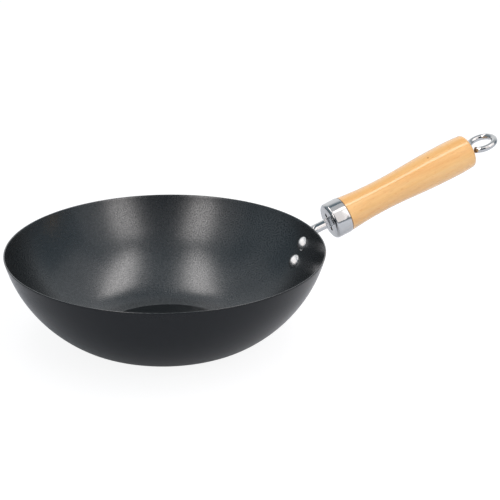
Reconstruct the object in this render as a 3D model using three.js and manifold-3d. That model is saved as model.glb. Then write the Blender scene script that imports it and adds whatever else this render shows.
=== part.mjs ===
// A flat-bottomed wok: a pressed steel bowl with a non-stick coat, and one long handle of a chromed
// steel tang riveted to the wall, a ferrule, a turned wooden grip and a hanging eye.
// Millimetres, +Z up. The origin is the centre of the underside; the handle points along +X.

import * as THREE from 'three';
import { mergeVertices } from 'three/addons/utils/BufferGeometryUtils.js';
import Module from 'manifold-3d';

// Bowl: a flat base, a soft heel and a steeper wall, all of one sheet thickness. The angles are the
// slope of the sheet at the crease round the base, where the heel ends and at the rim; the base's
// width and the bowl's height follow.
const RIM_RADIUS = 150;
const RIM_ANGLE = 75;
const WALL_RADIUS = 128.7;
const HEEL_RADIUS = 72;
const FOOT_ANGLE = 12;
const HEEL_ANGLE = 34.8;
const SHEET = 1.3;

// Handle line: it passes below the rim edge and rises outwards.
const HANDLE_TILT = 18.7;
const ROD_DROP = 6.5;

// Tang: one steel bar, hammered flat against the wall, round in the middle, flat again in the grip.
const ROD_DIAMETER = 8;
const PADDLE_WIDTH = 20;
const PADDLE_THICKNESS = 2.5;
const BEND_RADIUS = 12;
const ROUND_RUN = 2.4;
const NECK_RAMP = 2.6;
const NECK_LENGTH = 2.8;
const NECK_HEIGHT = 10;
const NECK_ROLL = 15;
const SPADE_HEIGHT = 16.4;
const SPADE_THICKNESS = 2.2;
const SPADE_SHOULDER = 6;
const SPADE_REACH = 40;

// Rivets: domed head inside the bowl, low formed head outside on the paddle.
const RIVET_SHANK = 6;
const RIVET_HEAD = 14;
const RIVET_HEAD_RISE = 3.5;
const RIVET_TAIL = 9.4;
const RIVET_TAIL_RISE = 2;
const RIVET_SPACING = 5.1;
const TAIL_TO_BEND = 2.1;

// Ferrule: a drawn cup over the nose of the grip, with a slot for the tang in its face.
const FERRULE_FROM_RIM = 22.3;
const FERRULE_LENGTH = 16.9;
const FERRULE_RADIUS = 17.9;
const FERRULE_WALL = 0.8;
const FERRULE_EDGE = 3;
const FERRULE_BEVEL = 1.3;
const SLOT_SPARE = 0.5;

// Grip: lengths from the ferrule to the waist, the belly and the butt, and the radius at each.
const FRONT_TO_WAIST = 44.8;
const WAIST_TO_BELLY = 80;
const BELLY_TO_BUTT = 20.5;
const FRONT_RADIUS = 17.4;
const WAIST_RADIUS = 15.15;
const BELLY_RADIUS = 17.75;
const BUTT_RADIUS = 17;
const BUTT_EDGE = 4;

// Tie: an eye bent from wire whose shank runs through the grip into a square nut in the tang.
const EYE_WIRE = 6;
const EYE_RADIUS = 13;
const EYE_BEND = 4;
const EYE_GAP = 0.4;
const TIE_SHANK = 4.2;
const TIE_TIP = 3;
const NUT_WIDTH = 8;
const NUT_THICKNESS = 4;
const NUT_FROM_SPADE_END = 9;

// Clearance left between two pieces that touch on the real object.
const FIT_GAP = 0.3;

// Facets round each kind of piece.
const BOWL_SIDES = 80;
const HANDLE_SIDES = 40;
const RIVET_SIDES = 24;
const TANG_SIDES = 24;
const WIRE_SIDES = 12;
const WIRE_STEPS = 56;

const wasm = await Module();
wasm.setup();

const { sin, cos, tan, sqrt, atan2, PI } = Math;
const radians = THREE.MathUtils.degToRad;
const lerp = THREE.MathUtils.lerp;
const smooth = (t) => THREE.MathUtils.smoothstep(t, 0, 1);
const vec2 = (x, y) => new THREE.Vector2(x, y);

// Materials
const coatedSteel = new THREE.MeshStandardMaterial({ color: 0x2b2e30, roughness: 0.45, metalness: 0.1 });
const chromedSteel = new THREE.MeshStandardMaterial({ color: 0xd9dbde, roughness: 0.12, metalness: 1 });
const polishedAluminium = new THREE.MeshStandardMaterial({ color: 0xd4d6d9, roughness: 0.25, metalness: 1 });
const lacqueredWood = new THREE.MeshStandardMaterial({ color: 0xe8bc7c, roughness: 0.35, metalness: 0 });
const zincPlate = new THREE.MeshStandardMaterial({ color: 0xb9bcc0, roughness: 0.4, metalness: 1 });

// A closed mesh as a solid that can be joined and cut. Shared corners are merged and the triangles
// that a lathe leaves flat on its axis are dropped.
function toSolid(geometry) {
  const bare = geometry.clone();
  bare.deleteAttribute('normal');
  bare.deleteAttribute('uv');
  const merged = mergeVertices(bare);
  const corners = merged.index.array;
  const kept = [];
  for (let i = 0; i < corners.length; i += 3) {
    const [a, b, c] = corners.slice(i, i + 3);
    if (a !== b && b !== c && c !== a) {
      kept.push(a, b, c);
    }
  }
  const vertProperties = new Float32Array(merged.attributes.position.array);
  const triVerts = new Uint32Array(kept);
  return new wasm.Manifold(new wasm.Mesh({ numProp: 3, vertProperties, triVerts }));
}

// The surface of a solid as flat-shaded geometry.
function toGeometry(solid) {
  const mesh = solid.getMesh();
  const geometry = new THREE.BufferGeometry();
  geometry.setAttribute('position', new THREE.BufferAttribute(mesh.vertProperties, 3));
  geometry.setIndex(new THREE.BufferAttribute(mesh.triVerts, 1));
  return geometry;
}

// A geometry cut by each of the cutters in turn.
function cutBy(geometry, cutters) {
  const left = cutters.reduce((body, cutter) => body.subtract(toSolid(cutter)), toSolid(geometry));
  return toGeometry(left);
}

function named(name, geometry, material) {
  const mesh = new THREE.Mesh(geometry, material);
  mesh.name = name;
  return mesh;
}

// Meridian of the bowl: two arcs, measured by the slope of the sheet, which is 0 on the base. They are
// laid out from the rim inwards and meet without a kink. The heel ends at the foot's slope and runs on
// straight to the base.
const rimSlope = radians(RIM_ANGLE);
const heelSlope = radians(HEEL_ANGLE);
const footSlope = radians(FOOT_ANGLE);
const onArc = (centre, radius, slope) => vec2(centre.x + radius * sin(slope), centre.y - radius * cos(slope));
const heelRise = HEEL_RADIUS * (1 - cos(heelSlope));
const wallRise = WALL_RADIUS * (cos(heelSlope) - cos(rimSlope));
const bowlHeight = heelRise + wallRise;
const wallCentre = onArc(vec2(RIM_RADIUS, bowlHeight), -WALL_RADIUS, rimSlope);
const heelCentre = onArc(wallCentre, WALL_RADIUS - HEEL_RADIUS, heelSlope);

// A run of points along one arc of the meridian, between two slopes.
function arcPoints(centre, radius, from, to, steps) {
  const point = (_, i) => onArc(centre, radius, lerp(from, to, i / steps));
  return Array.from({ length: steps + 1 }, point);
}

// Handle line in the bowl's X-Z plane, measured from where it passes under the rim edge.
const tilt = radians(HANDLE_TILT);
const handleStart = vec2(RIM_RADIUS, bowlHeight - ROD_DROP);
const handleAhead = vec2(cos(tilt), sin(tilt));
const handleUnder = vec2(sin(tilt), -cos(tilt));
const neckRoll = radians(NECK_ROLL);

// The tang's bend touches both the paddle's arc along the wall and the handle line.
const paddleRadius = WALL_RADIUS + FIT_GAP + PADDLE_THICKNESS / 2;
const bendBase = handleStart.clone().addScaledVector(handleUnder, BEND_RADIUS).sub(wallCentre);
const bendAlong = bendBase.dot(handleAhead);
const bendReach = (paddleRadius + BEND_RADIUS) ** 2 - bendBase.lengthSq() + bendAlong ** 2;
const bendEnd = sqrt(bendReach) - bendAlong;
const bendCentre = bendBase.addScaledVector(handleAhead, bendEnd).add(wallCentre);
const bendSlope = atan2(bendCentre.x - wallCentre.x, wallCentre.y - bendCentre.y);

// Rivets sit square to the wall, one above the other below the bend.
const upperSlope = bendSlope - (RIVET_TAIL / 2 + TAIL_TO_BEND) / WALL_RADIUS;
const lowerSlope = upperSlope - (RIVET_HEAD + RIVET_SPACING) / WALL_RADIUS;

// Positions along the handle line.
const ferruleBack = FERRULE_FROM_RIM + FERRULE_LENGTH;
const waistAt = ferruleBack + FRONT_TO_WAIST;
const bellyAt = waistAt + WAIST_TO_BELLY;
const buttAt = bellyAt + BELLY_TO_BUTT;
const spadeEnd = FERRULE_FROM_RIM + SPADE_REACH;
const nutAt = spadeEnd - NUT_FROM_SPADE_END;
const tieTip = nutAt - NUT_THICKNESS / 2 - TIE_TIP;

// Bores in the grip: the front one clears the spade and the corners of the nut, the back one the tie.
const spadeReach = Math.hypot(SPADE_HEIGHT, SPADE_THICKNESS) / 2;
const nutReach = Math.hypot(NUT_WIDTH, NUT_WIDTH) / 2;
const boreRadius = Math.max(spadeReach, nutReach) + FIT_GAP;
const tieBore = Math.max(EYE_WIRE, TIE_SHANK) / 2 + FIT_GAP;

// Turns a piece made round its own Y axis so that the axis lies along the X-Z direction given.
function standAlong(object, direction, origin) {
  const axis = new THREE.Vector3(direction.x, 0, direction.y);
  object.quaternion.setFromUnitVectors(new THREE.Vector3(0, 1, 0), axis);
  object.position.set(origin.x, 0, origin.y);
}

// A round cutter through the wall and the paddle at one rivet.
function rivetHole(slope) {
  const radius = RIVET_SHANK / 2 + FIT_GAP;
  const length = 2 * (SHEET + PADDLE_THICKNESS + RIVET_SHANK);
  const hole = new THREE.Mesh(new THREE.CylinderGeometry(radius, radius, length, RIVET_SIDES));
  standAlong(hole, vec2(sin(slope), -cos(slope)), onArc(wallCentre, WALL_RADIUS, slope));
  hole.updateMatrix();
  return hole.geometry.applyMatrix4(hole.matrix);
}

const rivetHoles = [rivetHole(upperSlope), rivetHole(lowerSlope)];

// Bowl: the outer meridian up to the rim, a rounded cut edge, and the inner meridian back down.
function makeBowl() {
  const heelSteps = 5;
  const wallSteps = 8;
  const edgeSteps = 4;
  const innerHeel = HEEL_RADIUS - SHEET;
  const innerWall = WALL_RADIUS - SHEET;
  const edgeCentre = onArc(wallCentre, WALL_RADIUS - SHEET / 2, rimSlope);
  const crease = (radius) => vec2(heelCentre.x + radius * tan(footSlope / 2), heelCentre.y - radius);
  const outside = [
    crease(HEEL_RADIUS),
    ...arcPoints(heelCentre, HEEL_RADIUS, footSlope, heelSlope, heelSteps),
    ...arcPoints(wallCentre, WALL_RADIUS, heelSlope, rimSlope, wallSteps).slice(1),
  ];
  const edge = arcPoints(edgeCentre, SHEET / 2, rimSlope, rimSlope + PI, edgeSteps).slice(1, -1);
  const inside = [
    ...arcPoints(wallCentre, innerWall, rimSlope, heelSlope, wallSteps),
    ...arcPoints(heelCentre, innerHeel, heelSlope, footSlope, heelSteps).slice(1),
    crease(innerHeel),
  ];
  const profile = [vec2(0, 0), ...outside, ...edge, ...inside, vec2(0, SHEET)];
  const turned = new THREE.LatheGeometry(profile, BOWL_SIDES);
  return cutBy(turned.rotateX(PI / 2), rivetHoles);
}

// One ring of the tang: a rounded oblong of the given half width, along Y, and half height, in the
// X-Z plane, square to the path and rolled about it. The power runs from 2, an ellipse, up to a flat
// bar's oblong.
function tangRing(centre, slope, halfWidth, halfHeight, power, roll = 0) {
  const point = (_, i) => {
    const turn = (2 * PI * i) / TANG_SIDES;
    const wide = Math.sign(cos(turn)) * Math.abs(cos(turn)) ** (2 / power) * halfWidth;
    const high = Math.sign(sin(turn)) * Math.abs(sin(turn)) ** (2 / power) * halfHeight;
    const across = wide * cos(roll) + high * sin(roll);
    const up = high * cos(roll) - wide * sin(roll);
    return new THREE.Vector3(centre.x - up * sin(slope), across, centre.y + up * cos(slope));
  };
  return Array.from({ length: TANG_SIDES }, point);
}

// A closed skin over a row of rings of equal count, capped flat at both ends.
function loft(rings) {
  const count = rings[0].length;
  const points = rings.flat();
  const last = points.length - count;
  const faces = [];
  for (let ring = 0; ring < last; ring += count) {
    for (let i = 0; i < count; i += 1) {
      const next = (i + 1) % count;
      faces.push(ring + i, ring + next, ring + count + i);
      faces.push(ring + next, ring + count + next, ring + count + i);
    }
  }
  for (let i = 1; i < count - 1; i += 1) {
    faces.push(0, i + 1, i);
    faces.push(last, last + i, last + i + 1);
  }
  const geometry = new THREE.BufferGeometry().setFromPoints(points);
  geometry.setIndex(faces);
  return geometry;
}

// A box cutter centred on the handle line, rolled with the spade.
function boxOnHandle(from, to, width, height) {
  const box = new THREE.BoxGeometry(to - from, width, height);
  box.translate((from + to) / 2, 0, 0);
  box.rotateX(-neckRoll);
  box.rotateY(-tilt);
  return box.translate(handleStart.x, 0, handleStart.y);
}

// Tang: the paddle's round end, its run up the wall, the bend where it turns from flat to round, the
// round rod, the neck in the ferrule's slot, and the spade with a T-shaped cut-out for the tie nut.
function makeTang() {
  const flatPower = 5;
  const spadePower = 8;
  const rodRadius = ROD_DIAMETER / 2;
  const paddleHalf = PADDLE_WIDTH / 2;
  const paddleRise = PADDLE_THICKNESS / 2;
  const onPaddle = (slope) => onArc(wallCentre, paddleRadius, slope);
  const onHandle = (along) => handleStart.clone().addScaledVector(handleAhead, along);
  const rings = [];

  const endSteps = 6;
  for (let i = 1; i <= endSteps; i += 1) {
    const turn = ((PI / 2) * i) / endSteps;
    const slope = lowerSlope - (paddleHalf * cos(turn)) / paddleRadius;
    rings.push(tangRing(onPaddle(slope), slope, paddleHalf * sin(turn), paddleRise, flatPower));
  }

  const runSteps = 5;
  for (let i = 1; i <= runSteps; i += 1) {
    const slope = lerp(lowerSlope, bendSlope, i / runSteps);
    rings.push(tangRing(onPaddle(slope), slope, paddleHalf, paddleRise, flatPower));
  }

  const bendLength = BEND_RADIUS * (bendSlope - tilt);
  const roundLength = bendLength + ROUND_RUN;
  const flatToRound = (centre, slope, gone) => {
    const t = smooth(gone / roundLength);
    const halfWidth = lerp(paddleHalf, rodRadius, t);
    return tangRing(centre, slope, halfWidth, lerp(paddleRise, rodRadius, t), lerp(flatPower, 2, t));
  };
  const bendSteps = 7;
  for (let i = 1; i <= bendSteps; i += 1) {
    const slope = lerp(bendSlope, tilt, i / bendSteps);
    const centre = onArc(bendCentre, -BEND_RADIUS, slope);
    rings.push(flatToRound(centre, slope, (bendLength * i) / bendSteps));
  }
  const settleSteps = 2;
  for (let i = 1; i <= settleSteps; i += 1) {
    const run = (ROUND_RUN * i) / settleSteps;
    rings.push(flatToRound(onHandle(bendEnd + run), tilt, bendLength + run));
  }

  const bladeHalf = SPADE_THICKNESS / 2;
  const neckHalf = NECK_HEIGHT / 2;
  const neckFrom = FERRULE_FROM_RIM - NECK_LENGTH;
  const rampSteps = 4;
  for (let i = 0; i <= rampSteps; i += 1) {
    const t = smooth(i / rampSteps);
    const centre = onHandle(lerp(neckFrom - NECK_RAMP, neckFrom, i / rampSteps));
    const halfWidth = lerp(rodRadius, bladeHalf, t);
    const halfHeight = lerp(rodRadius, neckHalf, t);
    rings.push(tangRing(centre, tilt, halfWidth, halfHeight, lerp(2, flatPower, t), neckRoll));
  }

  const spadeHalf = SPADE_HEIGHT / 2;
  const shoulderAt = FERRULE_FROM_RIM + FERRULE_WALL + FIT_GAP;
  rings.push(tangRing(onHandle(shoulderAt), tilt, bladeHalf, neckHalf, flatPower, neckRoll));
  for (const along of [shoulderAt + SPADE_SHOULDER, spadeEnd]) {
    rings.push(tangRing(onHandle(along), tilt, bladeHalf, spadeHalf, spadePower, neckRoll));
  }

  const through = 4 * SPADE_THICKNESS;
  const pocketHalf = NUT_THICKNESS / 2 + FIT_GAP;
  const pocket = boxOnHandle(nutAt - pocketHalf, nutAt + pocketHalf, through, NUT_WIDTH + 2 * FIT_GAP);
  const slit = boxOnHandle(tieTip - FIT_GAP, spadeEnd + SPADE_THICKNESS, through, TIE_SHANK + 2 * FIT_GAP);
  return cutBy(loft(rings), [...rivetHoles, pocket, slit]);
}

// Rivet, made along Y with 0 on the outside of the wall: the domed head stands inside the bowl and the
// formed head outside the paddle. Each seat allows for the bow of the wall under a flat head.
function makeRivet() {
  const domeSteps = 5;
  const headHalf = RIVET_HEAD / 2;
  const tailHalf = RIVET_TAIL / 2;
  const wallBow = WALL_RADIUS - sqrt(WALL_RADIUS ** 2 - headHalf ** 2);
  const headSeat = SHEET + FIT_GAP + wallBow;
  const tailSeat = 2 * FIT_GAP + PADDLE_THICKNESS;
  const dome = (half, rise, seat, way) => {
    const radius = (half ** 2 + rise ** 2) / (2 * rise);
    const spread = Math.asin(half / radius);
    const crown = way * (seat + rise);
    const point = (_, i) => {
      const turn = (spread * i) / domeSteps;
      return vec2(radius * sin(turn), crown - way * radius * (1 - cos(turn)));
    };
    return Array.from({ length: domeSteps + 1 }, point);
  };
  const profile = [
    ...dome(headHalf, RIVET_HEAD_RISE, headSeat, -1),
    vec2(RIVET_SHANK / 2, -headSeat),
    vec2(RIVET_SHANK / 2, tailSeat),
    ...dome(tailHalf, RIVET_TAIL_RISE, tailSeat, 1).reverse(),
  ];
  profile[0].x = 0;
  profile[profile.length - 1].x = 0;
  return new THREE.LatheGeometry(profile, RIVET_SIDES);
}

// Turns a lathe's Y axis onto the handle's own X axis.
const alongHandle = (geometry) => geometry.rotateZ(-PI / 2);

// Ferrule: a cup of even wall, closed towards the bowl, with a long slot through its face.
function makeFerrule() {
  const edgeSteps = 5;
  const innerEdge = FERRULE_EDGE - FERRULE_WALL;
  const edgeCentre = vec2(FERRULE_RADIUS - FERRULE_EDGE, FERRULE_FROM_RIM + FERRULE_EDGE);
  const profile = [
    vec2(0, FERRULE_FROM_RIM),
    ...arcPoints(edgeCentre, FERRULE_EDGE, 0, PI / 2, edgeSteps),
    vec2(FERRULE_RADIUS, ferruleBack - FERRULE_BEVEL),
    vec2(FERRULE_RADIUS - FERRULE_WALL / 2, ferruleBack),
    vec2(FERRULE_RADIUS - FERRULE_WALL, ferruleBack),
    ...arcPoints(edgeCentre, innerEdge, PI / 2, 0, edgeSteps),
    vec2(0, FERRULE_FROM_RIM + FERRULE_WALL),
  ];
  const half = SPADE_THICKNESS / 2 + FIT_GAP;
  const reach = SPADE_HEIGHT / 2 + SLOT_SPARE - half;
  const outline = new THREE.Shape();
  outline.absarc(reach, 0, half, -PI / 2, PI / 2, false);
  outline.absarc(-reach, 0, half, PI / 2, 1.5 * PI, false);
  const depth = 4 * FERRULE_WALL;
  const slot = new THREE.ExtrudeGeometry(outline, { depth, bevelEnabled: false, curveSegments: 4 });
  slot.rotateY(PI / 2).rotateX(-neckRoll);
  slot.translate(FERRULE_FROM_RIM + (FERRULE_WALL - depth) / 2, 0, 0);
  return cutBy(alongHandle(new THREE.LatheGeometry(profile, HANDLE_SIDES)), [slot]);
}

// Grip: a turned nose inside the ferrule, a waist, a belly and a rounded butt, drilled wide from the
// front for the spade and narrow from the back for the tie.
function makeGrip() {
  const noseFrom = FERRULE_FROM_RIM + FERRULE_WALL + FIT_GAP;
  const noseRadius = FERRULE_RADIUS - FERRULE_WALL - FIT_GAP;
  const shoulder = ferruleBack + FIT_GAP;
  // Shares that shape the curves: how much of the flare is gone early, and over how much of its
  // length each curve holds the radius of its front or back end.
  const earlyFlare = 0.55;
  const frontHold = 1 / 3;
  const waistHold = 0.45;
  const waistLeave = 0.3;
  const bellyHold = 0.5;
  const noseShare = 0.8;
  const flare = (FRONT_RADIUS - WAIST_RADIUS) * earlyFlare;
  const noseRound = Math.min(FERRULE_EDGE, noseShare * (noseRadius - boreRadius));
  const noseEdge = vec2(noseRadius - noseRound, noseFrom + noseRound);
  const buttEdge = vec2(BUTT_RADIUS - BUTT_EDGE, buttAt - BUTT_EDGE);
  const frontToWaist = new THREE.CubicBezierCurve(
    vec2(FRONT_RADIUS, shoulder),
    vec2(FRONT_RADIUS - flare, shoulder + FRONT_TO_WAIST * frontHold),
    vec2(WAIST_RADIUS, waistAt - FRONT_TO_WAIST * waistHold),
    vec2(WAIST_RADIUS, waistAt),
  );
  const waistToBelly = new THREE.CubicBezierCurve(
    vec2(WAIST_RADIUS, waistAt),
    vec2(WAIST_RADIUS, waistAt + WAIST_TO_BELLY * waistLeave),
    vec2(BELLY_RADIUS, bellyAt - WAIST_TO_BELLY * bellyHold),
    vec2(BELLY_RADIUS, bellyAt),
  );
  const bellyToButt = new THREE.QuadraticBezierCurve(
    vec2(BELLY_RADIUS, bellyAt),
    vec2(BELLY_RADIUS, bellyAt + BELLY_TO_BUTT / 3),
    vec2(BUTT_RADIUS, buttAt - BUTT_EDGE),
  );
  const profile = [
    vec2(boreRadius, noseFrom),
    ...arcPoints(noseEdge, noseRound, 0, PI / 2, 3),
    vec2(noseRadius, shoulder),
    ...frontToWaist.getPoints(7),
    ...waistToBelly.getPoints(9).slice(1),
    ...bellyToButt.getPoints(3).slice(1),
    ...arcPoints(buttEdge, BUTT_EDGE, PI / 2, PI, 4).slice(1),
    vec2(tieBore, buttAt),
    vec2(tieBore, spadeEnd + FIT_GAP),
    vec2(boreRadius, spadeEnd + FIT_GAP),
    vec2(boreRadius, noseFrom),
  ];
  return alongHandle(new THREE.LatheGeometry(profile, HANDLE_SIDES));
}

// A path drawn flat in the handle's X-Y plane.
class FlatCurve extends THREE.Curve {
  constructor(path) {
    super();
    this.path = path;
  }

  getPoint(t, target = new THREE.Vector3()) {
    const point = this.path.getPoint(t);
    return target.set(point.x, point.y, 0);
  }
}

// Hanging eye: the wire leaves the shank in a tight bend, runs round almost a full circle and stops
// short of the shank again.
function makeEye() {
  const wire = EYE_WIRE / 2;
  const lead = EYE_WIRE;
  const eyeCentre = buttAt + FIT_GAP + wire + EYE_RADIUS;
  const bendReachBack = sqrt(EYE_RADIUS ** 2 + 2 * EYE_RADIUS * EYE_BEND);
  const bendAt = eyeCentre - bendReachBack;
  const leave = atan2(EYE_BEND, bendReachBack);
  const stop = Math.asin((EYE_WIRE + EYE_GAP) / EYE_RADIUS);
  const path = new THREE.Path();
  path.moveTo(bendAt - lead, 0);
  path.lineTo(bendAt, 0);
  path.absarc(bendAt, EYE_BEND, EYE_BEND, -PI / 2, -leave, false);
  path.absarc(eyeCentre, 0, EYE_RADIUS, PI - leave, stop - PI, true);
  const section = new THREE.Shape().absarc(0, 0, wire, 0, 2 * PI, false);
  const loop = new THREE.ExtrudeGeometry(section, {
    steps: WIRE_STEPS,
    curveSegments: WIRE_SIDES / 2,
    extrudePath: new FlatCurve(path),
  });
  const shankEnd = bendAt - lead / 2;
  const shankLength = shankEnd - tieTip;
  const shank = new THREE.CylinderGeometry(TIE_SHANK / 2, TIE_SHANK / 2, shankLength, WIRE_SIDES);
  shank.rotateZ(PI / 2).translate((shankEnd + tieTip) / 2, 0, 0);
  return toGeometry(toSolid(loop).add(toSolid(shank)));
}

// Tie nut: a square nut lying in the spade's cut-out.
function makeNut() {
  const half = NUT_WIDTH / 2;
  const square = [vec2(-half, -half), vec2(half, -half), vec2(half, half), vec2(-half, half)];
  const outline = new THREE.Shape(square);
  outline.holes.push(new THREE.Path().absarc(0, 0, TIE_SHANK / 2 + FIT_GAP, 0, 2 * PI, false));
  const nut = new THREE.ExtrudeGeometry(outline, {
    depth: NUT_THICKNESS,
    bevelEnabled: false,
    curveSegments: WIRE_SIDES / 2,
  });
  return nut.rotateY(PI / 2).rotateX(-neckRoll).translate(nutAt - NUT_THICKNESS / 2, 0, 0);
}

// Assembly
const wok = new THREE.Group();
wok.add(named('wok_bowl', makeBowl(), coatedSteel));
wok.add(named('handle_tang', makeTang(), chromedSteel));

for (const [name, slope] of [['upper_rivet', upperSlope], ['lower_rivet', lowerSlope]]) {
  const rivet = named(name, makeRivet(), polishedAluminium);
  standAlong(rivet, vec2(sin(slope), -cos(slope)), onArc(wallCentre, WALL_RADIUS, slope));
  wok.add(rivet);
}

const handle = new THREE.Group();
handle.position.set(handleStart.x, 0, handleStart.y);
handle.rotation.y = -tilt;
handle.add(named('ferrule', makeFerrule(), chromedSteel));
handle.add(named('wooden_grip', makeGrip(), lacqueredWood));
handle.add(named('hanging_eye', makeEye(), chromedSteel));
handle.add(named('tie_nut', makeNut(), zincPlate));
wok.add(handle);

export default wok;
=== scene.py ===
"""Looks of a flat-bottomed wok with one wooden handle, in metres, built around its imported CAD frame.
+Z is up, the bowl stands on the origin and the handle points along +X."""

import bpy
import numpy as np
from mathutils import Matrix


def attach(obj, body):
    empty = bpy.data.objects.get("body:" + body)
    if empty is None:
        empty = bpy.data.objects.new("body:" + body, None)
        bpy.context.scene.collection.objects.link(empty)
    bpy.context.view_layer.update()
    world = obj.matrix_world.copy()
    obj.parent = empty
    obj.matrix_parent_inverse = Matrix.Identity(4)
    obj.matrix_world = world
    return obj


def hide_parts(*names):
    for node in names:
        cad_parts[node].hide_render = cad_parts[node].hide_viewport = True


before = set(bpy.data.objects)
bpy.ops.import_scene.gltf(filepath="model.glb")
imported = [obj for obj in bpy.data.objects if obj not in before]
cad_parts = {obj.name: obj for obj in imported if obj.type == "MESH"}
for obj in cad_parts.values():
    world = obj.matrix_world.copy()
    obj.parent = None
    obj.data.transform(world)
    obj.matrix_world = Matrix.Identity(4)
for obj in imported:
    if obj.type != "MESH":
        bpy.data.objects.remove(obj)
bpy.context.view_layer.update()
MM = 0.001


# Bowl: carbon steel sheet pressed to a flat base, a soft heel and a steep wall, with a cut and rounded
# rim. A dark non-stick coat is sprayed over it, flaked inside and over the rim, and plain outside.
rim_radius = 150 * MM
rim_slope = np.radians(75)
wall_radius = 128.7 * MM
heel_radius = 72 * MM
heel_slope = np.radians(34.8)
foot_slope = np.radians(12)
foot_bend = 8 * MM
sheet = 1.3 * MM
base_shares = np.linspace(0.1, 0.97, 6)
crease_rows, heel_rows, wall_rows, rim_rows = 7, 20, 44, 9
flaked_rim_rows = 5
bowl_sides = 240
sharp_edge = np.radians(40)


def arc(centre, radius, start, end, count):
    """Points (out, up) of a circle: the centre plus the radius times (sine, minus cosine) of a slope
    that runs evenly from start to end."""
    slope = np.linspace(start, end, count)
    return np.column_stack([centre[0] + radius * np.sin(slope), centre[1] - radius * np.cos(slope)])


def turned(profile, sides):
    """Rings of a turned piece: each profile point (out, along) is carried round the axis in equal
    steps, to (out times cosine, out times sine, along)."""
    turn = np.arange(sides) * 2 * np.pi / sides
    out = profile[:, :1]
    along = np.repeat(profile[:, 1:], sides, axis=1)
    return np.stack([out * np.cos(turn), out * np.sin(turn), along], axis=-1)


def skin(name, rings, joined=False):
    """A closed mesh over rings of equal count: a quad spans each pair of neighbours along the row and
    round the ring. A joined row closes on itself, and an open one ends in fans to its rings' middles.
    Faces are turned outwards by the sign of the volume, the sum of corner triple products. They are
    listed row by row, then the first ring's fan, then the last one's."""
    rows, sides = rings.shape[:2]
    points = rings.reshape(-1, 3)
    row = np.arange(rows if joined else rows - 1)[:, None]
    side = np.arange(sides)
    beside = (side + 1) % sides
    ahead = (row + 1) % rows
    corners = [row * sides + side, row * sides + beside, ahead * sides + beside, ahead * sides + side]
    quads = np.stack(corners, axis=-1).reshape(-1, 4)
    a, b, c, d = (points[quads[:, i]] for i in range(4))
    volume = np.sum(a * np.cross(b, c) + a * np.cross(c, d))
    faces = quads.tolist()
    if not joined:
        first, last = len(points), len(points) + 1
        points = np.vstack([points, rings[0].mean(axis=0), rings[-1].mean(axis=0)])
        end = (rows - 1) * sides
        faces += np.column_stack([beside, side, np.full(sides, first)]).tolist()
        faces += np.column_stack([end + side, end + beside, np.full(sides, last)]).tolist()
    if volume < 0:
        faces = [face[::-1] for face in faces]
    mesh = bpy.data.meshes.new(name)
    mesh.from_pydata(points.tolist(), [], faces)
    mesh.polygons.foreach_set("use_smooth", np.ones(len(faces), bool))
    mesh.set_sharp_from_angle(angle=sharp_edge)
    piece = bpy.data.objects.new(name, mesh)
    bpy.context.scene.collection.objects.link(piece)
    return piece


def linear(code):
    """The linear colour of an sRGB hex value."""
    shade = np.array([int(code[i : i + 2], 16) for i in (1, 3, 5)]) / 255
    low, high = shade / 12.92, ((shade + 0.055) / 1.055) ** 2.4
    return (*np.where(shade <= 0.04045, low, high), 1.0)


def add(tree, kind, sockets=None, stops=(), **settings):
    """Adds one node: the settings go on the node, each socket takes a value or another node's output,
    and the stops are the places and colours of a ramp."""
    node = tree.nodes.new(kind)
    for key, value in settings.items():
        setattr(node, key, value)
    for key, value in (sockets or {}).items():
        if isinstance(value, bpy.types.NodeSocket):
            tree.links.new(value, node.inputs[key])
        else:
            node.inputs[key].default_value = value
    for stop, (position, code) in enumerate(stops):
        node.color_ramp.elements[stop].position = position
        node.color_ramp.elements[stop].color = linear(code)
    return node


def new_finish(name, **sockets):
    """A new material with its Principled shader's plain sockets set. Returns it, its node tree, the
    shader and the Object coordinates."""
    material = bpy.data.materials.new(name)
    material.use_nodes = True
    tree = material.node_tree
    shader = tree.nodes["Principled BSDF"]
    for key, value in sockets.items():
        shader.inputs[key.replace("_", " ")].default_value = value
    return material, tree, shader, add(tree, "ShaderNodeTexCoord").outputs["Object"]


heel_rise = heel_radius * (1 - np.cos(heel_slope))
wall_rise = wall_radius * (np.cos(heel_slope) - np.cos(rim_slope))
bowl_height = heel_rise + wall_rise
wall_centre = arc((rim_radius, bowl_height), -wall_radius, rim_slope, rim_slope, 1)[0]
heel_centre = arc(wall_centre, wall_radius - heel_radius, heel_slope, heel_slope, 1)[0]
edge_centre = arc(wall_centre, wall_radius - sheet / 2, rim_slope, rim_slope, 1)[0]


def crease(radius, bend):
    """The bend from the flat base up to the heel, as points (out, up): an arc between the slopes 0 and
    the foot's that touches the base and the heel's straight foot. They would meet at the heel's centre
    plus its radius times the tangent of half the foot's slope."""
    corner = heel_centre[0] + radius * np.tan(foot_slope / 2)
    flat_end = corner - bend * np.tan(foot_slope / 2)
    return arc((flat_end, heel_centre[1] - radius + bend), bend, 0, foot_slope, crease_rows)


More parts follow.
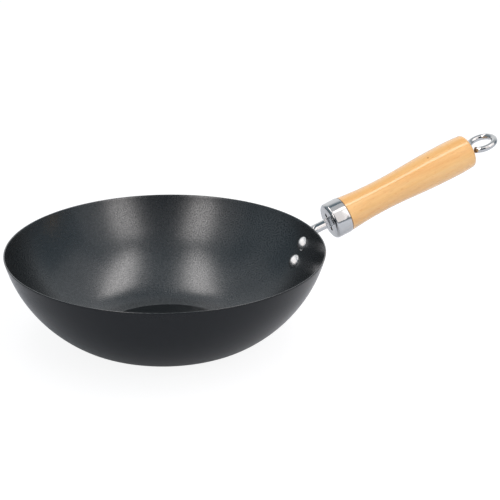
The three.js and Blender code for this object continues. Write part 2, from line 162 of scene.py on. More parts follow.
outer_crease = crease(heel_radius, foot_bend)
inner_crease = crease(heel_radius - sheet, foot_bend - sheet)[::-1]
base_out = base_shares * outer_crease[0, 0]
outer_profile = np.vstack(
    [
        np.column_stack([base_out, np.zeros_like(base_out)]),
        outer_crease,
        arc(heel_centre, heel_radius, foot_slope, heel_slope, heel_rows),
        arc(wall_centre, wall_radius, heel_slope, rim_slope, wall_rows)[1:],
        arc(edge_centre, sheet / 2, rim_slope, rim_slope + np.pi, rim_rows)[1:-1],
    ]
)
inner_profile = np.vstack(
    [
        arc(wall_centre, wall_radius - sheet, rim_slope, heel_slope, wall_rows),
        arc(heel_centre, heel_radius - sheet, heel_slope, foot_slope, heel_rows)[1:],
        inner_crease,
        np.column_stack([base_out[::-1], np.full_like(base_out, sheet)]),
    ]
)
bowl_profile = np.vstack([outer_profile, inner_profile])
bowl = skin("wok_bowl_coated", turned(bowl_profile, bowl_sides))

# Non-stick coat inside, a sprayed and baked fluoropolymer full of fine metal flakes: it reflects as a
# dark, cool metal, its highlights break into a speckle, and it is smoother on the flat base. The flakes
# are about 0.3 mm on the real one and are drawn at 1.2 mm so that they show.
flake = 1.2 * MM
flake_rise = 0.05 * MM
patch = flake / 1.3
base_fade = 0.8 * MM
base_share = 0.6
inner_coat, tree, shader, place = new_finish("flaked_nonstick_coat", Metallic=0.95)
flakes = add(tree, "ShaderNodeTexNoise", {"Vector": place, "Scale": 1 / flake, "Detail": 1.0})
shade = add(
    tree,
    "ShaderNodeValToRGB",
    {"Fac": flakes.outputs["Fac"]},
    [(0.3, "#545759"), (0.72, "#6A6D70")],
)
tree.links.new(shade.outputs["Color"], shader.inputs["Base Color"])
patches = add(tree, "ShaderNodeTexNoise", {"Vector": place, "Scale": 1 / patch, "Detail": 1.0})
spread = add(
    tree,
    "ShaderNodeMapRange",
    {"Value": patches.outputs["Fac"], "From Min": 0.3, "From Max": 0.7, "To Min": 0.22, "To Max": 0.32},
)
height = add(tree, "ShaderNodeSeparateXYZ", {"Vector": place})
smoother = add(
    tree,
    "ShaderNodeMapRange",
    {"Value": height.outputs["Z"], "From Min": sheet, "From Max": sheet + base_fade, "To Min": base_share},
)
rough = add(
    tree,
    "ShaderNodeMath",
    {0: spread.outputs["Result"], 1: smoother.outputs["Result"]},
    operation="MULTIPLY",
)
tree.links.new(rough.outputs["Value"], shader.inputs["Roughness"])
bump = add(
    tree,
    "ShaderNodeBump",
    {"Height": flakes.outputs["Fac"], "Strength": 0.3, "Distance": flake_rise},
)
tree.links.new(bump.outputs["Normal"], shader.inputs["Normal"])

# Non-stick coat outside, the same without flakes: near black with a blue cast, satin, and mottled by the
# spray's drops, which are drawn at 2 mm so that they show.
drop = 2 * MM
drop_rise = 0.1 * MM
outer_coat, tree, shader, place = new_finish("satin_nonstick_coat", Roughness=0.18, IOR=1.33)
mottle = add(tree, "ShaderNodeTexNoise", {"Vector": place, "Scale": 1 / drop, "Detail": 3.0})
shade = add(
    tree,
    "ShaderNodeValToRGB",
    {"Fac": mottle.outputs["Fac"]},
    [(0.0, "#101317"), (1.0, "#15191D")],
)
tree.links.new(shade.outputs["Color"], shader.inputs["Base Color"])
bump = add(
    tree,
    "ShaderNodeBump",
    {"Height": mottle.outputs["Fac"], "Strength": 0.05, "Distance": drop_rise},
)
tree.links.new(bump.outputs["Normal"], shader.inputs["Normal"])

bowl.data.materials.append(outer_coat)
bowl.data.materials.append(inner_coat)
face_row = np.arange(len(bowl.data.polygons)) // bowl_sides
underside_fan = len(bowl_profile) - 1
flaked = (face_row >= len(outer_profile) - flaked_rim_rows) & (face_row != underside_fan)
bowl.data.polygons.foreach_set("material_index", flaked.astype(np.int32))
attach(bowl, "root")
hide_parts("wok_bowl")


# Tang: one steel bar, polished and chromed. It is hammered flat where it lies against the wall, bent
# over to the handle's line, round where it shows, and pressed flat again to pass the ferrule. The rod
# is drawn 9.2 mm thick, as the real one measures, where its CAD solid has 8 mm.
handle_tilt = np.radians(18.7)
rod_drop = 6.5 * MM
rod_half = 4.6 * MM
paddle_half = 10 * MM
paddle_rise = 1.25 * MM
bend_radius = 12 * MM
round_run = 2.4 * MM
neck_ramp = 1.1 * MM
neck_length = 3.8 * MM
neck_half = 5 * MM
neck_roll = np.radians(15)
ramp_margin = 0.15 * MM
spade_half = 8.2 * MM
blade_half = 1.1 * MM
spade_shoulder = 6 * MM
spade_reach = 40 * MM
rivet_head = 14 * MM
rivet_tail = 9.4 * MM
rivet_spacing = 5.1 * MM
tail_to_bend = 2.1 * MM
fit_gap = 0.3 * MM
ferrule_from_rim = 22.3 * MM
ferrule_wall = 0.8 * MM
round_power, flat_power, spade_power = 2, 5, 8
tip_start = 0.02
tip_rows, paddle_rows, bend_rows, settle_rows, ramp_rows = 14, 16, 28, 6, 12
tang_sides = 64

handle_start = np.array([rim_radius, bowl_height - rod_drop])
handle_ahead = np.array([np.cos(handle_tilt), np.sin(handle_tilt)])
handle_under = np.array([np.sin(handle_tilt), -np.cos(handle_tilt)])
paddle_radius = wall_radius + fit_gap + paddle_rise
bend_base = handle_start + bend_radius * handle_under - wall_centre
bend_along = bend_base @ handle_ahead
bend_reach = (paddle_radius + bend_radius) ** 2 - bend_base @ bend_base + bend_along**2
bend_end = np.sqrt(bend_reach) - bend_along
bend_centre = bend_base + bend_end * handle_ahead + wall_centre
bend_slope = np.arctan2(bend_centre[0] - wall_centre[0], wall_centre[1] - bend_centre[1])
upper_slope = bend_slope - (rivet_tail / 2 + tail_to_bend) / wall_radius
lower_slope = upper_slope - (rivet_head + rivet_spacing) / wall_radius


def ease(t):
    """A smooth step from 0 to 1: three t squared less two t cubed."""
    return t * t * (3 - 2 * t)


def blend(a, b, t):
    """A value that runs from a to b as t runs from 0 to 1."""
    return a + (b - a) * t


def bar_rings(centre, slope, half_width, half_height, power, roll=0):
    """Rings of a bar of changing section along a path in the X-Z plane. Each is a superellipse, its
    cosine and sine raised to 2 over the power, so 2 is an ellipse and more is nearer an oblong; it is
    rolled about the path and set square to it."""
    half_width, half_height, power, roll, slope = (
        np.broadcast_to(value, len(centre))[:, None]
        for value in (half_width, half_height, power, roll, slope)
    )
    turn = np.arange(tang_sides) * 2 * np.pi / tang_sides
    cosine, sine = np.cos(turn), np.sin(turn)
    wide = np.sign(cosine) * np.abs(cosine) ** (2 / power) * half_width
    high = np.sign(sine) * np.abs(sine) ** (2 / power) * half_height
    across = wide * np.cos(roll) + high * np.sin(roll)
    up = high * np.cos(roll) - wide * np.sin(roll)
    return np.stack(
        [centre[:, :1] - up * np.sin(slope), across, centre[:, 1:] + up * np.cos(slope)], axis=-1
    )


def on_paddle(slope):
    """Points (x, z) on the paddle's middle line, an arc that follows the wall."""
    return wall_centre + paddle_radius * np.column_stack([np.sin(slope), -np.cos(slope)])


def on_handle(along):
    """Points (x, z) on the handle's line at these distances from the rim."""
    return handle_start + np.asarray(along)[:, None] * handle_ahead


tip_turn = np.linspace(tip_start, 1, tip_rows) * np.pi / 2
tip_slope = lower_slope - paddle_half * np.cos(tip_turn) / paddle_radius
run_slope = np.linspace(lower_slope, bend_slope, paddle_rows)[1:]
bend_turn = np.linspace(bend_slope, handle_tilt, bend_rows)[1:]
settle = np.linspace(0, round_run, settle_rows)[1:]
bend_length = bend_radius * (bend_slope - handle_tilt)
bend_gone = ease(bend_radius * (bend_slope - bend_turn) / (bend_length + round_run))
settle_gone = ease((bend_length + settle) / (bend_length + round_run))
neck_from = ferrule_from_rim - neck_length
ramp = np.linspace(0, 1, ramp_rows)
shoulder = ferrule_from_rim + ferrule_wall + fit_gap
spade_end = ferrule_from_rim + spade_reach
tang_parts = [
    bar_rings(on_paddle(tip_slope), tip_slope, paddle_half * np.sin(tip_turn), paddle_rise, flat_power),
    bar_rings(on_paddle(run_slope), run_slope, paddle_half, paddle_rise, flat_power),
    bar_rings(
        bend_centre - bend_radius * np.column_stack([np.sin(bend_turn), -np.cos(bend_turn)]),
        bend_turn,
        blend(paddle_half, rod_half, bend_gone),
        blend(paddle_rise, rod_half, bend_gone),
        blend(flat_power, round_power, bend_gone),
    ),
    bar_rings(
        on_handle(bend_end + settle),
        handle_tilt,
        blend(paddle_half, rod_half, settle_gone),
        blend(paddle_rise, rod_half, settle_gone),
        blend(flat_power, round_power, settle_gone),
    ),
    bar_rings(
        on_handle([neck_from - neck_ramp - ramp_margin]), handle_tilt, rod_half, rod_half, round_power
    ),
    bar_rings(
        on_handle(neck_from - neck_ramp * (1 - ramp)),
        handle_tilt,
        blend(rod_half, blade_half, ease(ramp)),
        blend(rod_half, neck_half, ease(ramp)),
        blend(round_power, flat_power, ease(ramp)),
        neck_roll,
    ),
    bar_rings(
        on_handle([neck_from + ramp_margin, shoulder, shoulder + spade_shoulder, spade_end]),
        handle_tilt,
        blade_half,
        np.array([neck_half, neck_half, spade_half, spade_half]),
        np.array([flat_power, flat_power, spade_power, spade_power]),
        neck_roll,
    ),
]
tang = skin("handle_tang_chromed", np.concatenate(tang_parts))


def marked_metal(name, code, mark, roughness, detail=3.0):
    """A metal of one colour whose roughness runs between two values, in a noise with marks of this
    size."""
    material, tree, shader, place = new_finish(name, Metallic=1.0, Base_Color=linear(code))
    marks = add(tree, "ShaderNodeTexNoise", {"Vector": place, "Scale": 1 / mark, "Detail": detail})
    dull = add(
        tree,
        "ShaderNodeMapRange",
        {"Value": marks.outputs["Fac"], "To Min": roughness[0], "To Max": roughness[1]},
    )
    tree.links.new(dull.outputs["Result"], shader.inputs["Roughness"])
    return material


# Chrome plate over polished steel: a cool bright mirror, dulled a little by the polishing marks of the
# steel below. The marks are drawn at 0.6 mm so that they show.
chrome = marked_metal("chrome_plate", "#C2C4C6", mark=0.6 * MM, roughness=(0.06, 0.15))
tang.data.materials.append(chrome)

# Oiled mild steel, where the plating does not reach inside the handle: dull, and painted near black as
# painted shade of the spade in the ferrule's slot and of the ferrule's inside.
oiled_steel_painted_dark = marked_metal("oiled_mild_steel_painted_shade", "#221F1D", mark=1.5 * MM, roughness=(0.45, 0.7))
tang.data.materials.append(oiled_steel_painted_dark)

# The same chrome plate over the hammered neck, whose facets of about 2 mm break its reflections up. Its
# colour is painted lighter than the rest of the plate, as painted light that brightens the neck in the
# ferrule's shade.
facet = 2 * MM
facet_rise = 0.3 * MM
brightened_neck_chrome, tree, shader, place = new_finish(
    "hammered_chrome_painted_lighter", Metallic=1.0, Roughness=0.3, Base_Color=linear("#E4E6E8")
)
facets = add(tree, "ShaderNodeTexVoronoi", {"Vector": place, "Scale": 1 / facet})
bump = add(
    tree,
    "ShaderNodeBump",
    {"Height": facets.outputs["Distance"], "Strength": 0.5, "Distance": facet_rise},
)
tree.links.new(bump.outputs["Normal"], shader.inputs["Normal"])
tang.data.materials.append(brightened_neck_chrome)

plated, oiled_and_shaded, beaten = 0, 1, 2
tang_row = np.arange(len(tang.data.polygons)) // tang_sides
neck_row, spade_row, end_row = np.cumsum([len(part) for part in tang_parts])[-3:]
paddle_fan = end_row - 1
# The spade past the neck takes the oiled steel, painted near black as the shade in the slot.
row_finish = np.where(tang_row < neck_row, plated, np.where(tang_row <= spade_row, beaten, oiled_and_shaded))
row_finish[tang_row == paddle_fan] = plated
tang.data.polygons.foreach_set("material_index", row_finish.astype(np.int32))
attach(tang, "root")
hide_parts("handle_tang")


# Rivets: two aluminium rivets set square through the wall and the paddle, a broad polished dome on
# the inside and a low formed head on the paddle outside.
shank_half = 3 * MM
head_rise = 3.5 * MM
tail_rise = 2 * MM
head_rows, tail_rows = 20, 14
rivet_sides = 72


def dome(half, rise, count):
    """Points (out, up) of a spherical cap from its crown to its edge, up measured from the edge. The
    radius is half squared plus rise squared over twice the rise."""
    radius = (half**2 + rise**2) / (2 * rise)
    turn = np.linspace(tip_start, 1, count) * np.arcsin(half / radius)
    return np.column_stack([radius * np.sin(turn), rise - radius * (1 - np.cos(turn))])


wall_bow = wall_radius - np.sqrt(wall_radius**2 - (rivet_head / 2) ** 2)
head_seat = sheet + fit_gap + wall_bow
tail_seat = 2 * (fit_gap + paddle_rise)
head_cap = dome(rivet_head / 2, head_rise, head_rows) * (1, -1) - (0, head_seat)
tail_cap = dome(rivet_tail / 2, tail_rise, tail_rows)[::-1] + (0, tail_seat)
rivet_profile = np.vstack([head_cap, (shank_half, -head_seat), (shank_half, tail_seat), tail_cap])
rivet_rings = turned(rivet_profile, rivet_sides)

# Polished aluminium: a soft white mirror with faint marks from the setting tool.
rivet_metal = marked_metal("polished_aluminium", "#EDEEF0", mark=1.2 * MM, roughness=(0.2, 0.32))
rivets = []
for node, slope in (("upper_rivet", upper_slope), ("lower_rivet", lower_slope)):
    outward = np.array([np.sin(slope), 0, -np.cos(slope)])
    upward = np.array([np.cos(slope), 0, np.sin(slope)])
    seat = np.array([wall_centre[0], 0, wall_centre[1]]) + wall_radius * outward
    placed = seat + rivet_rings @ np.array([upward, (0, 1, 0), outward])
    rivet = skin(node + "_polished", placed)
    rivet.data.materials.append(rivet_metal)
    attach(rivet, "root")
    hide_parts(node)
    rivets.append(rivet)


# Ferrule: a steel cup drawn over the nose of the grip and chromed, with a rounded front edge, a long
# slot in its face for the tang and a small bevel at the back.
ferrule_length = 16.9 * MM
ferrule_radius = 17.9 * MM
ferrule_edge = 3 * MM
ferrule_bevel = 1.3 * MM
slot_play = 0.9 * MM
slot_spare = 1 * MM
end_steepness = 4
edge_rows, inner_edge_rows = 14, 8
ferrule_sides = 192

handle_axes = np.array(
    [
        (-np.sin(handle_tilt), 0, np.cos(handle_tilt)),
        (0, 1, 0),
        (np.cos(handle_tilt), 0, np.sin(handle_tilt)),
    ]
)
handle_origin = np.array([handle_start[0], 0, handle_start[1]])


def on_handle_axis(rings):
    """Rings given as (up, across, along the handle), set on the handle's line."""
    return handle_origin + rings @ handle_axes


ferrule_back = ferrule_from_rim + ferrule_length
edge_at = (ferrule_radius - ferrule_edge, ferrule_from_rim + ferrule_edge)
ferrule_profile = np.vstack(
    [
        arc(edge_at, ferrule_edge, 0, np.pi / 2, edge_rows),
        (ferrule_radius, ferrule_back - ferrule_bevel),
        (ferrule_radius - ferrule_wall / 2, ferrule_back),
        (ferrule_radius - ferrule_wall, ferrule_back),
        arc(edge_at, ferrule_edge - ferrule_wall, np.pi / 2, 0, inner_edge_rows),
    ]
)
cup = turned(ferrule_profile, ferrule_sides)

# The slot's outline, an oblong with round ends: the end radius times (cosine, sine) of the turn, moved
# out to one end or the other by the cosine, steepened and clipped.
slot_half = blade_half + slot_play
slot_reach = spade_half + slot_spare - slot_half
turn = np.arange(ferrule_sides) * 2 * np.pi / ferrule_sides + neck_roll
to_end = np.clip(end_steepness * np.cos(turn), -1, 1)
slot_long = slot_reach * to_end + slot_half * np.cos(turn)
slot_wide = slot_half * np.sin(turn)
slot_up = slot_long * np.cos(neck_roll) - slot_wide * np.sin(neck_roll)
slot_across = slot_long * np.sin(neck_roll) + slot_wide * np.cos(neck_roll)
slot_ring = np.column_stack([slot_up, slot_across, np.zeros(ferrule_sides)])
ferrule_rings = np.concatenate(
    [
        [slot_ring + (0, 0, ferrule_from_rim)],
        cup,
        [slot_ring + (0, 0, ferrule_from_rim + ferrule_wall)],
    ]
)
ferrule = skin("ferrule_chromed", on_handle_axis(ferrule_rings), joined=True)
ferrule.data.materials.append(chrome)
ferrule.data.materials.append(oiled_steel_painted_dark)
ferrule_row = np.arange(len(ferrule.data.polygons)) // ferrule_sides
face_barrel_bevel_and_lip = 4
# The ferrule's inside takes the oiled steel, painted near black as the shade inside the cup.
inside = ferrule_row >= face_barrel_bevel_and_lip + edge_rows - 1
ferrule.data.polygons.foreach_set("material_index", inside.astype(np.int32))
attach(ferrule, "root")
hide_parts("ferrule")


# Grip: pale hardwood turned to a waist and a belly, drilled through for the tie, sanded and dipped in
# clear lacquer. Its nose sits in the ferrule and the eye's tie pulls the two together.
front_to_waist = 44.8 * MM
waist_to_belly = 80 * MM
belly_to_butt = 20.5 * MM
front_radius = 17.4 * MM
waist_radius = 15.15 * MM
belly_radius = 17.75 * MM
butt_radius = 17 * MM
butt_edge = 4 * MM
eye_wire = 6 * MM
front_flare = 0.55
front_lead, waist_pull = 1 / 3, 0.45
waist_lead, belly_pull = 0.3, 1 / 2
belly_lead = 1 / 3
nose_rows, waist_rows, belly_rows, butt_rows, butt_edge_rows = 8, 28, 36, 12, 14
grip_sides = 144


def lathe_curve(points, count):
    """Points of a smooth curve that leaves its first point towards the second and comes to its last
    from the one before: neighbours are mixed in the ratio of 1 less t to t, over and over, until one
    point is left, for each t from 0 to 1."""
    t = np.linspace(0, 1, count)[:, None]
    points = [np.array(point)[None] for point in points]
    while len(points) > 1:
        points = [a * (1 - t) + b * t for a, b in zip(points, points[1:])]
    return points[0]


nose_from = shoulder
nose_radius = ferrule_radius - ferrule_wall - fit_gap
bore_radius = np.hypot(spade_half, blade_half) + fit_gap
tie_bore = eye_wire / 2 + fit_gap
grip_front = ferrule_back + fit_gap
waist_at = ferrule_back + front_to_waist
belly_at = waist_at + waist_to_belly
butt_at = belly_at + belly_to_butt
flared_radius = front_radius - (front_radius - waist_radius) * front_flare
nose_at = (nose_radius - ferrule_edge, nose_from + ferrule_edge)
butt_edge_at = (butt_radius - butt_edge, butt_at - butt_edge)
grip_profile = np.vstack(
    [
        (bore_radius, nose_from),
        arc(nose_at, ferrule_edge, 0, np.pi / 2, nose_rows),
        (nose_radius, grip_front),
        lathe_curve(
            [
                (front_radius, grip_front),
                (flared_radius, grip_front + front_to_waist * front_lead),
                (waist_radius, waist_at - front_to_waist * waist_pull),
                (waist_radius, waist_at),
            ],
            waist_rows,
        ),
        lathe_curve(
            [
                (waist_radius, waist_at),
                (waist_radius, waist_at + waist_to_belly * waist_lead),
                (belly_radius, belly_at - waist_to_belly * belly_pull),
                (belly_radius, belly_at),
            ],
            belly_rows,
        )[1:],
        lathe_curve(
            [
                (belly_radius, belly_at),
                (belly_radius, belly_at + belly_to_butt * belly_lead),
                (butt_radius, butt_at - butt_edge),
            ],
            butt_rows,
        )[1:],
        arc(butt_edge_at, butt_edge, np.pi / 2, np.pi, butt_edge_rows)[1:],
        (tie_bore, butt_at),
        (tie_bore, spade_end + fit_gap),
        (bore_radius, spade_end + fit_gap),
    ]
)
grip = skin("wooden_grip_lacquered", on_handle_axis(turned(grip_profile, grip_sides)), joined=True)

# Lacquered pale hardwood: yellow-orange, with faint growth bands a few millimetres apart, fine fibres
# and short darker flecks along the grip, and one pin knot. The clear lacquer gives it a crisp gloss. A
# brown band at the joint with the ferrule is painted shade of the gap there, with some glue dirt. The
# fibres are about 0.1 mm on the real one and are drawn at 0.5 mm.
band = 7 * MM
fibre = 0.5 * MM
fibre_rise = 0.1 * MM
fleck = 1.1 * MM
width_to_length = 0.05
fleck_width_to_length = 0.22
joint_shade_band = 0.9 * MM
knot_at = (138.5 * MM, -5.6 * MM, 16.1 * MM)
knot_size = 1.3 * MM
wood, tree, shader, place = new_finish(
    "lacquered_hardwood", Roughness=0.45, IOR=1.5, Coat_Weight=1.0, Coat_Roughness=0.08, Coat_IOR=1.55
)
along = add(
    tree,
    "ShaderNodeMapping",
    {"Vector": place, "Location": handle_origin, "Rotation": (0, -handle_tilt, 0)},
    vector_type="TEXTURE",
)
drawn_out = add(
    tree,
    "ShaderNodeMapping",
    {"Vector": along.outputs["Vector"], "Scale": (width_to_length, 1, 1)},
)
bands = add(
    tree,
    "ShaderNodeTexNoise",
    {"Vector": drawn_out.outputs["Vector"], "Scale": 1 / band, "Detail": 2.0},
)
fibres = add(
    tree,
    "ShaderNodeTexNoise",
    {"Vector": drawn_out.outputs["Vector"], "Scale": 1 / fibre, "Detail": 2.0},
)
short = add(
    tree,
    "ShaderNodeMapping",
    {"Vector": along.outputs["Vector"], "Scale": (fleck_width_to_length, 1, 1)},
)
flecks = add(
    tree,
    "ShaderNodeTexNoise",
    {"Vector": short.outputs["Vector"], "Scale": 1 / fleck, "Detail": 1.0},
)
tone = add(
    tree,
    "ShaderNodeValToRGB",
    {"Fac": bands.outputs["Fac"]},
    [(0.3, "#EAB065"), (0.7, "#F1C27E")],
)
fine = add(
    tree,
    "ShaderNodeMapRange",
    {"Value": fibres.outputs["Fac"], "From Min": 0.3, "From Max": 0.7, "To Min": 0.95, "To Max": 1.03},
)
grain = add(
    tree,
    "ShaderNodeMix",
    {"Factor": 1.0, "A": tone.outputs["Color"], "B": fine.outputs["Result"]},
    data_type="RGBA",
    blend_type="MULTIPLY",
)
fleck_share = add(
    tree,
    "ShaderNodeMapRange",
    {"Value": flecks.outputs["Fac"], "From Min": 0.62, "From Max": 0.78, "To Max": 0.5},
)
flecked = add(
    tree,
    "ShaderNodeMix",
    {"Factor": fleck_share.outputs["Result"], "A": grain.outputs["Result"], "B": linear("#DD9147")},
    data_type="RGBA",
)
from_knot = add(
    tree, "ShaderNodeVectorMath", {0: along.outputs["Vector"], 1: knot_at}, operation="DISTANCE"
)
knot_share = add(
    tree,
    "ShaderNodeMapRange",
    {"Value": from_knot.outputs["Value"], "From Min": knot_size, "From Max": knot_size / 3, "To Max": 0.8},
)
knotted = add(
    tree,
    "ShaderNodeMix",
    {"Factor": knot_share.outputs["Result"], "A": flecked.outputs["Result"], "B": linear("#9A5A22")},
    data_type="RGBA",
)
length = add(tree, "ShaderNodeSeparateXYZ", {"Vector": along.outputs["Vector"]})
# Painted shade of the gap at the ferrule joint, with some glue dirt: the wood turns brown within a
# millimetre of its front.
joint_shade_share = add(
    tree,
    "ShaderNodeMapRange",
    {
        "Value": length.outputs["X"],
        "From Min": grip_front + joint_shade_band,
        "From Max": grip_front + joint_shade_band / 3,
        "To Max": 0.75,
    },
)
joint_shaded = add(
    tree,
    "ShaderNodeMix",
    {"Factor": joint_shade_share.outputs["Result"], "A": knotted.outputs["Result"], "B": linear("#6E4A2C")},
    data_type="RGBA",
)
tree.links.new(joint_shaded.outputs["Result"], shader.inputs["Base Color"])
bump = add(
    tree,
    "ShaderNodeBump",
    {"Height": fibres.outputs["Fac"], "Strength": 0.03, "Distance": fibre_rise},
)
tree.links.new(bump.outputs["Normal"], shader.inputs["Normal"])
grip.data.materials.append(wood)
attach(grip, "root")
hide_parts("wooden_grip")


# Hanging eye: chromed steel wire bent to a round eye. Its shank runs through the grip and screws into
# the tie nut; the other end is cut off short of the shank, close to the butt, and its last few millimetres
# are painted brown as a painted reflection of the shaded butt.
eye_radius = 13 * MM
eye_bend = 4 * MM
eye_gap = 0.4 * MM
tie_half = 2.1 * MM
nut_half = 2 * MM
nut_from_spade_end = 9 * MM
tie_tip_length = 3 * MM
shank_flare = 0.5 * MM
flare_shares = np.array([0, 0, 0.25, 0.6, 1])
small_rows, big_rows = 18, 120
painted_reflection_rows = 4
wire_sides = 40

wire_half = eye_wire / 2
eye_centre = butt_at + fit_gap + wire_half + eye_radius
reach_back = np.sqrt(eye_radius**2 + 2 * eye_radius * eye_bend)
bend_at = eye_centre - reach_back
leave = np.arctan2(eye_bend, reach_back)
stop = np.arcsin((eye_wire + eye_gap) / eye_radius)
tie_tip = spade_end - nut_from_spade_end - nut_half - tie_tip_length
flare_run = bend_at - wire_half + np.linspace(0, shank_flare, len(flare_shares) - 1)
shank_run = np.concatenate([[tie_tip], flare_run, [bend_at]])
shank_points = np.column_stack([shank_run, np.zeros_like(shank_run)])
small_turn = np.linspace(0, np.pi / 2 - leave, small_rows)[1:]
small_bend = np.column_stack(
    [bend_at + eye_bend * np.sin(small_turn), eye_bend * (1 - np.cos(small_turn))]
)
big_turn = np.linspace(np.pi - leave, stop - np.pi, big_rows)[1:]
big_bend = np.column_stack(
    [eye_centre + eye_radius * np.cos(big_turn), eye_radius * np.sin(big_turn)]
)
eye_path = np.vstack([shank_points, small_bend, big_bend])
eye_heading = np.concatenate([np.zeros(len(shank_run)), small_turn, big_turn - np.pi / 2])
eye_half = np.full(len(eye_path), wire_half)
eye_half[: len(flare_shares)] = blend(tie_half, wire_half, flare_shares)


def wire_rings(path, heading, half):
    """Rings of a round wire along a flat path of (along, across): each is the wire's half thickness
    times the cosine of the turn in the path's plane, square to its heading, and the sine up from it."""
    turn = np.arange(wire_sides) * 2 * np.pi / wire_sides
    flat = half[:, None] * np.cos(turn)
    up = half[:, None] * np.sin(turn)
    along = path[:, :1] - flat * np.sin(heading)[:, None]
    across = path[:, 1:] + flat * np.cos(heading)[:, None]
    return np.stack([up, across, along], axis=-1)


eye = skin("hanging_eye_chromed", on_handle_axis(wire_rings(eye_path, eye_heading, eye_half)))
eye.data.materials.append(chrome)

# Painted reflection at the wire's cut end: the shaded butt mirrored in the chrome, painted as a dull brown
# metal with darker spots.
reflection_blotch = 0.8 * MM
end_reflection_metal, tree, shader, place = new_finish("cut_end_painted_reflection", Metallic=1.0, Roughness=0.5)
spots = add(tree, "ShaderNodeTexNoise", {"Vector": place, "Scale": 1 / reflection_blotch, "Detail": 2.0})
shade = add(
    tree,
    "ShaderNodeValToRGB",
    {"Fac": spots.outputs["Fac"]},
    [(0.3, "#6A5B50"), (0.7, "#857569")],
)
tree.links.new(shade.outputs["Color"], shader.inputs["Base Color"])
eye.data.materials.append(end_reflection_metal)
eye_row = np.arange(len(eye.data.polygons)) // wire_sides
tie_fan = len(eye_path) - 1
# The last rows before the cut end take the painted reflection of the shaded butt.
reflection_end = (eye_row >= tie_fan - painted_reflection_rows) & (eye_row != tie_fan)
eye.data.polygons.foreach_set("material_index", reflection_end.astype(np.int32))
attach(eye, "root")
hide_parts("hanging_eye")


# Tie nut: a square nut, pressed from strip and zinc plated, held in the spade's cut-out inside the
# grip. It keeps its CAD solid.

# Zinc plate: a pale grey metal, blotched softly by its crystals of about 1 mm.
zinc = marked_metal("zinc_plate", "#B4B8BB", mark=1 * MM, roughness=(0.3, 0.5), detail=2.0)
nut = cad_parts["tie_nut"]
nut.data.materials.clear()
nut.data.materials.append(zinc)


# Studio: a pale floor and a white surround, lit by softboxes overhead and beside the camera and by wide
# dim cards. The floor keeps the wok's shadow, and its own glow brings it up to white for the camera.
scene = bpy.context.scene
scene.view_settings.view_transform = "Standard"
white = (1, 1, 1, 1)
camera_turn = np.radians(24.6)
floor_half = 5.0
floor_gap = 0.2 * MM

corners = [(-floor_half, -floor_half), (floor_half, -floor_half)]
corners += [(floor_half, floor_half), (-floor_half, floor_half)]
floor_mesh = bpy.data.meshes.new("studio_floor")
floor_mesh.from_pydata([(x, y, -floor_gap) for x, y in corners], [], [(0, 1, 2, 3)])
floor = bpy.data.objects.new("studio_floor", floor_mesh)
scene.collection.objects.link(floor)


def ray_shares(tree):
    """Two outputs on how a ray gets here: 1 if it comes straight from the camera, and 1 if it comes by
    way of metal or glass."""
    path = add(tree, "ShaderNodeLightPath")
    shiny = add(
        tree,
        "ShaderNodeMath",
        {0: path.outputs["Is Glossy Ray"], 1: path.outputs["Is Transmission Ray"]},
        operation="MAXIMUM",
    )
    return path.outputs["Is Camera Ray"], shiny.outputs["Value"]


# White paper. For the camera most of it is a plain white glow, so that only a light shadow stays; in the
# metal it glows less.
camera_share, mirror_share = 0.74, 0.07
paper_glow = 1.2
paper, tree, shader, _ = new_finish(
    "white_paper", Roughness=0.9, Specular_IOR_Level=0.0, Base_Color=linear("#D6DDE6")
)
glow = add(tree, "ShaderNodeEmission", {"Color": white, "Strength": paper_glow})
by_camera, by_metal = ray_shares(tree)
in_metal = add(tree, "ShaderNodeMath", {0: by_metal, 1: mirror_share}, operation="MULTIPLY")
share = add(
    tree,
    "ShaderNodeMath",
    {0: by_camera, 1: camera_share, 2: in_metal.outputs["Value"]},
    operation="MULTIPLY_ADD",
)
both = add(
    tree,
    "ShaderNodeMixShader",
    {0: share.outputs["Value"], 1: shader.outputs["BSDF"], 2: glow.outputs["Emission"]},
)
tree.links.new(both.outputs["Shader"], tree.nodes["Material Output"].inputs["Surface"])
floor_mesh.materials.append(paper)

# The surround: white for the camera. In the metal it is a white backdrop that stands behind the wok and
# fades out above 50 degrees or so, in a dim room with a cold cast that gets darker behind the camera.
to_backdrop = (np.sin(camera_turn), np.cos(camera_turn), 0)
side_from, side_to = 0.4, 0.8
top_from, top_to = 0.95, 0.74
dark_from, dark_to = -1.0, -0.3
ambient = 0.6
world = bpy.data.worlds.new("studio")
scene.world = world
world.use_nodes = True
tree = world.node_tree
way = add(tree, "ShaderNodeTexCoord").outputs["Generated"]
facing = add(tree, "ShaderNodeVectorMath", {0: way, 1: to_backdrop}, operation="DOT_PRODUCT")
sideways = add(
    tree,
    "ShaderNodeMapRange",
    {"Value": facing.outputs["Value"], "From Min": side_from, "From Max": side_to},
    interpolation_type="SMOOTHSTEP",
)
height = add(tree, "ShaderNodeSeparateXYZ", {"Vector": way})
upwards = add(
    tree,
    "ShaderNodeMapRange",
    {"Value": height.outputs["Z"], "From Min": top_from, "From Max": top_to},
    interpolation_type="SMOOTHSTEP",
)
backdrop = add(
    tree,
    "ShaderNodeMath",
    {0: sideways.outputs["Result"], 1: upwards.outputs["Result"]},
    operation="MULTIPLY",
)
around = add(
    tree,
    "ShaderNodeMapRange",
    {"Value": facing.outputs["Value"], "From Min": dark_from, "From Max": dark_to},
)
dim = add(
    tree,
    "ShaderNodeValToRGB",
    {"Fac": around.outputs["Result"]},
    [(0.0, "#49525A"), (1.0, "#76868F")],
)
room = add(
    tree,
    "ShaderNodeMix",
    {"Factor": backdrop.outputs["Value"], "A": dim.outputs["Color"], "B": white},
    data_type="RGBA",
)
by_camera, by_metal = ray_shares(tree)
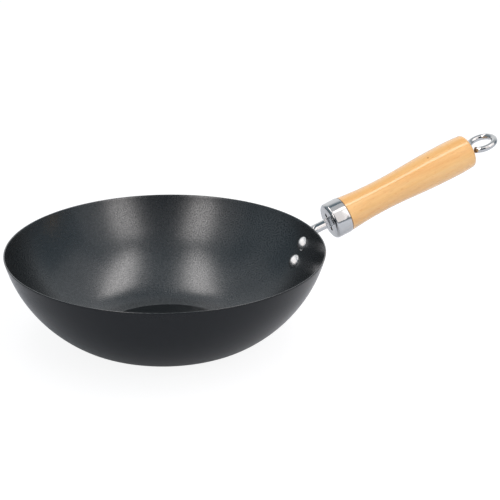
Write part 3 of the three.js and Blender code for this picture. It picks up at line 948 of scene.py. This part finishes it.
lit = add(
    tree,
    "ShaderNodeMix",
    {"Factor": by_metal, "A": (ambient, ambient, ambient, 1), "B": room.outputs["Result"]},
    data_type="RGBA",
)
seen = add(
    tree,
    "ShaderNodeMix",
    {"Factor": by_camera, "A": lit.outputs["Result"], "B": white},
    data_type="RGBA",
)
tree.links.new(seen.outputs["Result"], tree.nodes["Background"].inputs["Color"])

lamp_aim = np.array([0.03, 0.09, 0.02])
lamp_tint = linear("#FFF3EC")[:3]


def softbox(name, place, long_way, width, length, level, pieces=None, shape="RECTANGLE"):
    """An oblong or oval area lamp aimed at the bowl's far wall. Its place and the direction of its
    length are in metres towards the camera, to the right and up from there. Its power is pi times the
    area times the level, so that the level is how bright it looks in a mirror. Where pieces are named,
    flags keep it off all others."""
    studio = np.array([[-np.sin(camera_turn), -np.cos(camera_turn), 0]])
    studio = np.vstack([studio, [np.cos(camera_turn), -np.sin(camera_turn), 0], [0, 0, 1]])
    away = np.array(place) @ studio
    back = away / np.linalg.norm(away)
    across = np.cross(np.array(long_way) @ studio, back)
    across /= np.linalg.norm(across)
    lamp = bpy.data.lights.new(name, "AREA")
    lamp.shape = shape
    area = width * length * (np.pi / 4 if shape == "ELLIPSE" else 1)
    lamp.color = lamp_tint
    lamp.size, lamp.size_y, lamp.energy = width, length, np.pi * area * level
    holder = bpy.data.objects.new(name, lamp)
    axes = Matrix(np.column_stack([across, np.cross(back, across), back]).tolist()).to_4x4()
    holder.matrix_world = Matrix.Translation(lamp_aim + away) @ axes
    scene.collection.objects.link(holder)
    if pieces:
        lit = bpy.data.collections.new(name + "_lights")
        for piece in pieces:
            lit.objects.link(piece)
        holder.light_linking.receiver_collection = lit


pan = [bowl, floor]
metal = [tang, ferrule, eye]
upright, inwards, along_grip = (0, 0, 1), (1, 0, 0), (-0.39, 0.86, 0.32)

# The four softboxes that give the two pairs of bright fields inside the bowl, and one for the floor.
softbox("right_top_softbox", (0.0, 0.55, 1.3), (1, 0.05, 0), 0.32, 1.44, 3.9, pan, "ELLIPSE")
softbox("left_top_softbox", (0.02, -0.37, 1.3), (1, -0.1, 0), 0.32, 1.42, 3.6, [*pan, *metal], "ELLIPSE")
softbox("right_front_softbox", (1.05, 0.77, 0.69), upright, 0.46, 0.95, 2.5, pan)
softbox("left_front_softbox", (1.05, -0.51, 0.72), upright, 0.40, 0.9, 2.8, [bowl, *metal, grip])
softbox("floor_wash", (0.2, 1.0, 0.9), inwards, 1.0, 1.0, 1.35, [floor])

# White cards mirrored in the rivets and along the handle, and the stripe of gloss on the lacquer.
softbox("rivet_card", (0.3, -1.1, 1.0), inwards, 2.0, 3.2, 0.82, rivets)
softbox("rivet_top_card", (-0.1, 0.25, 1.4), inwards, 0.9, 1.8, 0.65, rivets)
softbox("handle_stripe", (0.22, 0.36, 1.34), along_grip, 0.32, 1.3, 4.5, [grip])
softbox("handle_front_card", (1.15, 0.95, 1.0), upright, 1.1, 1.9, 1.16, metal)
softbox("grip_front_card", (1.15, 0.95, 1.0), upright, 1.1, 1.9, 0.75, [grip])
softbox("handle_top_card", (0.4, 0.36, 1.27), along_grip, 0.3, 1.3, 2.1, [ferrule, eye])
softbox("handle_high_card", (-0.05, 0.2, 1.3), along_grip, 0.7, 1.4, 0.56, [ferrule, eye])
softbox("handle_side_card", (0.3, 1.14, 0.72), upright, 0.8, 1.1, 1.36, metal)
softbox("rod_card", (1.0, 0.75, 1.1), upright, 0.9, 0.5, 0.9, [tang])
softbox("neck_card", (1.45, 1.3, 0.25), upright, 1.0, 0.6, 0.85, [tang])

# Dim cards that fill the shadows from the sides and above.
softbox("right_side_card", (0.7, 1.3, 0.7), upright, 0.6, 1.2, 0.25)
softbox("left_side_card", (0.9, -1.1, 0.7), upright, 0.6, 1.2, 0.2)
softbox("left_far_card", (0.1, -1.3, 0.42), upright, 0.8, 0.8, 0.13, pan)
softbox("right_high_card", (-0.35, 1.0, 1.05), inwards, 0.7, 1.0, 0.32)
softbox("left_high_card", (-0.4, -0.95, 1.05), inwards, 0.7, 1.0, 0.22)

# The camera, with a long lens in millimetres, at the photograph's viewing angle.
camera_place = (-0.57808, -1.45265, 0.70456)
camera_dip = np.radians(21.641)
camera = bpy.data.cameras.new("camera")
camera.lens = 129.6
camera.sensor_width = 36
camera_holder = bpy.data.objects.new("camera", camera)
camera_holder.location = camera_place
camera_holder.rotation_euler = (np.pi / 2 - camera_dip, 0, -camera_turn)
scene.collection.objects.link(camera_holder)
scene.camera = camera_holder
